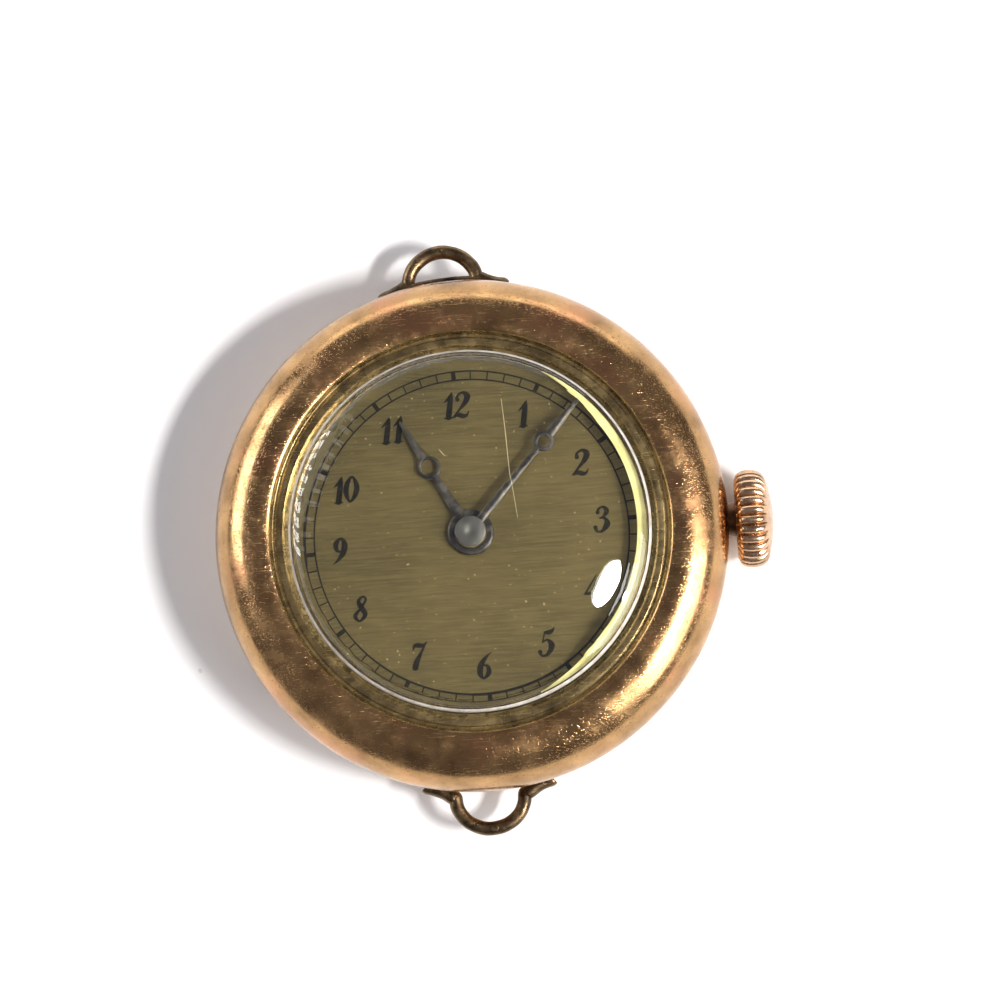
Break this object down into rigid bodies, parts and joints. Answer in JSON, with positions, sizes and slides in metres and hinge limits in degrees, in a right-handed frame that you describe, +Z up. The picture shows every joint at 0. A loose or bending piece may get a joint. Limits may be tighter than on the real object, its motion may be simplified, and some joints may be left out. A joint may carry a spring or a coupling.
{
  "type": "fob watch",
  "caption": "Small round fob watch with a domed crystal, fluted crown, two wire ribbon loops and a complete mechanical movement.",
  "frame": {"origin": "centre of the flat outer face of the back cover", "axes": "+Z up through the crystal, +X to the crown at 3 on the dial, +Y to 12 on the dial"},
  "size_m": [0.0305, 0.0326, 0.0098],
  "materials": {
    "case_gold": "polished and worn, fine scratches",
    "loop_brass": "dark patina",
    "crystal_clear": "polished dome with light scratches",
    "dial_gilt": "matte, aged",
    "hand_steel": "greyed by age",
    "steel": "polished",
    "blue_steel": "heat-blued",
    "spring_steel": "tempered",
    "plate_gilt": "matte gilt",
    "wheel_brass": "polished",
    "ruby": "polished"
  },
  "bodies": {
    "watch": {"case_middle": "case_gold", "loop_12": "loop_brass", "loop_6": "loop_brass", "crown_tube": "case_gold", "movement_ring": "plate_gilt", "case_screws": "steel", "dial": "dial_gilt", "setting_lever_spring": "spring_steel", "yoke_spring": "spring_steel", "keyless_screws": "blue_steel", "main_plate": "plate_gilt", "barrel_bridge": "plate_gilt", "train_bridge": "plate_gilt", "balance_cock": "plate_gilt", "pallet_cock": "plate_gilt", "bridge_screws": "blue_steel", "plate_jewels": "ruby", "bridge_jewels": "ruby", "hairspring_stud": "steel", "hairspring": "blue_steel", "crown_wheel_ring": "steel", "click_spring": "spring_steel"},
    "bezel_and_crystal": {"bezel": "case_gold", "crystal": "crystal_clear"},
    "back": {"back_cover": "case_gold"},
    "winding_pinion_body": {"winding_pinion": "steel"},
    "crown_and_stem": {"crown": "case_gold", "stem": "steel"},
    "clutch_body": {"clutch": "steel"},
    "lever_body": {"setting_lever": "steel"},
    "yoke_body": {"yoke": "steel"},
    "crown_wheel_body": {"crown_wheel": "steel"},
    "ratchet_and_arbor": {"ratchet_wheel": "steel", "ratchet_screw": "blue_steel", "barrel_arbor": "steel"},
    "click_body": {"click": "steel"},
    "minute_hand_and_pinion": {"minute_hand": "hand_steel", "cannon_pinion": "steel"},
    "minute_wheel_body": {"minute_wheel": "wheel_brass"},
    "hour_hand_and_wheel": {"hour_hand": "hand_steel", "hour_wheel": "wheel_brass"},
    "setting_wheel_body": {"setting_wheel": "steel"},
    "fourth_arbor": {"fourth_wheel": "wheel_brass", "fourth_pinion": "steel"},
    "third_arbor": {"third_wheel": "wheel_brass", "third_pinion": "steel"},
    "centre_arbor": {"centre_wheel": "wheel_brass", "centre_pinion": "steel"},
    "barrel": {"barrel_drum": "wheel_brass", "barrel_cover": "wheel_brass", "mainspring": "spring_steel"},
    "escape_arbor": {"escape_wheel": "wheel_brass", "escape_pinion": "steel"},
    "balance": {"balance_wheel": "wheel_brass", "balance_screws": "wheel_brass", "balance_staff": "steel", "roller": "steel"},
    "fork": {"pallet_fork": "steel", "pallet_stones": "ruby"},
    "regulator_body": {"regulator": "steel"}
  },
  "joints": [
    {"name": "bezel_lift", "type": "slide", "parent": "watch", "child": "bezel_and_crystal", "axis": [0, 0, 1], "range_m": [0, 0.004]},
    {"name": "back_cover_pull", "type": "slide", "parent": "watch", "child": "back", "axis": [0, 0, -1], "range_m": [0, 0.004]},
    {"name": "crown_turn", "type": "hinge", "parent": "watch", "child": "winding_pinion_body", "pos_m": [0.0084, 0, 0.003], "axis": [1, 0, 0], "continuous": true},
    {"name": "crown_pull", "type": "slide", "parent": "winding_pinion_body", "child": "crown_and_stem", "axis": [1, 0, 0], "range_m": [0, 0.0006]},
    {"name": "clutch_slide", "type": "slide", "parent": "winding_pinion_body", "child": "clutch_body", "axis": [-1, 0, 0], "range_m": [0, 0.00050025]},
    {"name": "setting_lever_swing", "type": "hinge", "parent": "watch", "child": "lever_body", "pos_m": [0.0095, 0.0017, 0.00497], "axis": [0, 0, 1], "range_deg": [0, 20.03]},
    {"name": "yoke_swing", "type": "hinge", "parent": "watch", "child": "yoke_body", "pos_m": [0.00675, -0.0023, 0.00497], "axis": [0, 0, 1], "range_deg": [0, 12.41], "deforming": ["yoke_spring"]},
    {"name": "crown_wheel_turn", "type": "hinge", "parent": "watch", "child": "crown_wheel_body", "pos_m": [0.00545, 0, 0.0012], "axis": [0, 0, 1], "continuous": true},
    {"name": "ratchet_wheel_turn", "type": "hinge", "parent": "watch", "child": "ratchet_and_arbor", "pos_m": [0.0023, 0.00478, 0.001], "axis": [0, 0, 1], "continuous": true},
    {"name": "click_lift", "type": "hinge", "parent": "watch", "child": "click_body", "pos_m": [-0.00165, 0.00621, 0.001], "axis": [0, 0, 1], "range_deg": [0, 12], "stiffness_Nm_per_rad": 0.000001, "springref_deg": -5.73, "deforming": ["click_spring"]},
    {"name": "minute_hand_turn", "type": "hinge", "parent": "watch", "child": "minute_hand_and_pinion", "pos_m": [0, 0, 0.006], "axis": [0, 0, 1], "continuous": true},
    {"name": "minute_wheel_turn", "type": "hinge", "parent": "watch", "child": "minute_wheel_body", "pos_m": [0.00186, -0.00222, 0.0051], "axis": [0, 0, 1], "continuous": true},
    {"name": "hour_hand_turn", "type": "hinge", "parent": "watch", "child": "hour_hand_and_wheel", "pos_m": [0, 0, 0.0058], "axis": [0, 0, 1], "continuous": true},
    {"name": "setting_wheel_turn", "type": "hinge", "parent": "watch", "child": "setting_wheel_body", "pos_m": [0.00441, 0, 0.0045], "axis": [0, 0, 1], "continuous": true},
    {"name": "fourth_wheel_turn", "type": "hinge", "parent": "watch", "child": "fourth_arbor", "pos_m": [-0.00396, -0.00395, 0.003], "axis": [0, 0, 1], "continuous": true},
    {"name": "third_wheel_turn", "type": "hinge", "parent": "watch", "child": "third_arbor", "pos_m": [-0.00449, -0.00031, 0.003], "axis": [0, 0, 1], "continuous": true},
    {"name": "centre_wheel_turn", "type": "hinge", "parent": "watch", "child": "centre_arbor", "pos_m": [0, 0, 0.003], "axis": [0, 0, 1], "continuous": true},
    {"name": "barrel_turn", "type": "hinge", "parent": "watch", "child": "barrel", "pos_m": [0.0023, 0.00478, 0.0027], "axis": [0, 0, 1], "continuous": true},
    {"name": "escape_wheel_turn", "type": "hinge", "parent": "watch", "child": "escape_arbor", "pos_m": [-0.0011, -0.0056, 0.003], "axis": [0, 0, 1], "continuous": true},
    {"name": "balance_swing", "type": "hinge", "parent": "watch", "child": "balance", "pos_m": [0.0037, -0.00475, 0.0028], "axis": [0, 0, 1], "range_deg": [-270, 270], "stiffness_Nm_per_rad": 0.00000029, "deforming": ["hairspring"]},
    {"name": "pallet_fork_swing", "type": "hinge", "parent": "watch", "child": "fork", "pos_m": [0.00089, -0.00524, 0.0029], "axis": [0, 0, 1], "range_deg": [-5, 5]},
    {"name": "regulator_swing", "type": "hinge", "parent": "watch", "child": "regulator_body", "pos_m": [0.0037, -0.00475, 0.00108], "axis": [0, 0, 1], "range_deg": [-10, 10]}
  ],
  "couplings": [
    {"joint": "clutch_slide", "follows": "crown_pull", "ratio": 0.83333},
    {"joint": "setting_lever_swing", "follows": "crown_pull", "rad_per_m": 582.24},
    {"joint": "yoke_swing", "follows": "crown_pull", "rad_per_m": 360.9},
    {"joint": "crown_wheel_turn", "follows": "crown_turn", "ratio": 0.56667},
    {"joint": "ratchet_wheel_turn", "follows": "crown_turn", "ratio": -0.47222},
    {"joint": "minute_wheel_turn", "follows": "minute_hand_turn", "ratio": -0.33333},
    {"joint": "hour_hand_turn", "follows": "minute_hand_turn", "ratio": 0.083333},
    {"joint": "setting_wheel_turn", "follows": "minute_hand_turn", "ratio": 0.6},
    {"joint": "third_wheel_turn", "follows": "fourth_wheel_turn", "ratio": -0.13333},
    {"joint": "centre_wheel_turn", "follows": "fourth_wheel_turn", "ratio": 0.016667},
    {"joint": "barrel_turn", "follows": "fourth_wheel_turn", "ratio": -0.0020833},
    {"joint": "escape_wheel_turn", "follows": "fourth_wheel_turn", "ratio": -10}
  ]
}
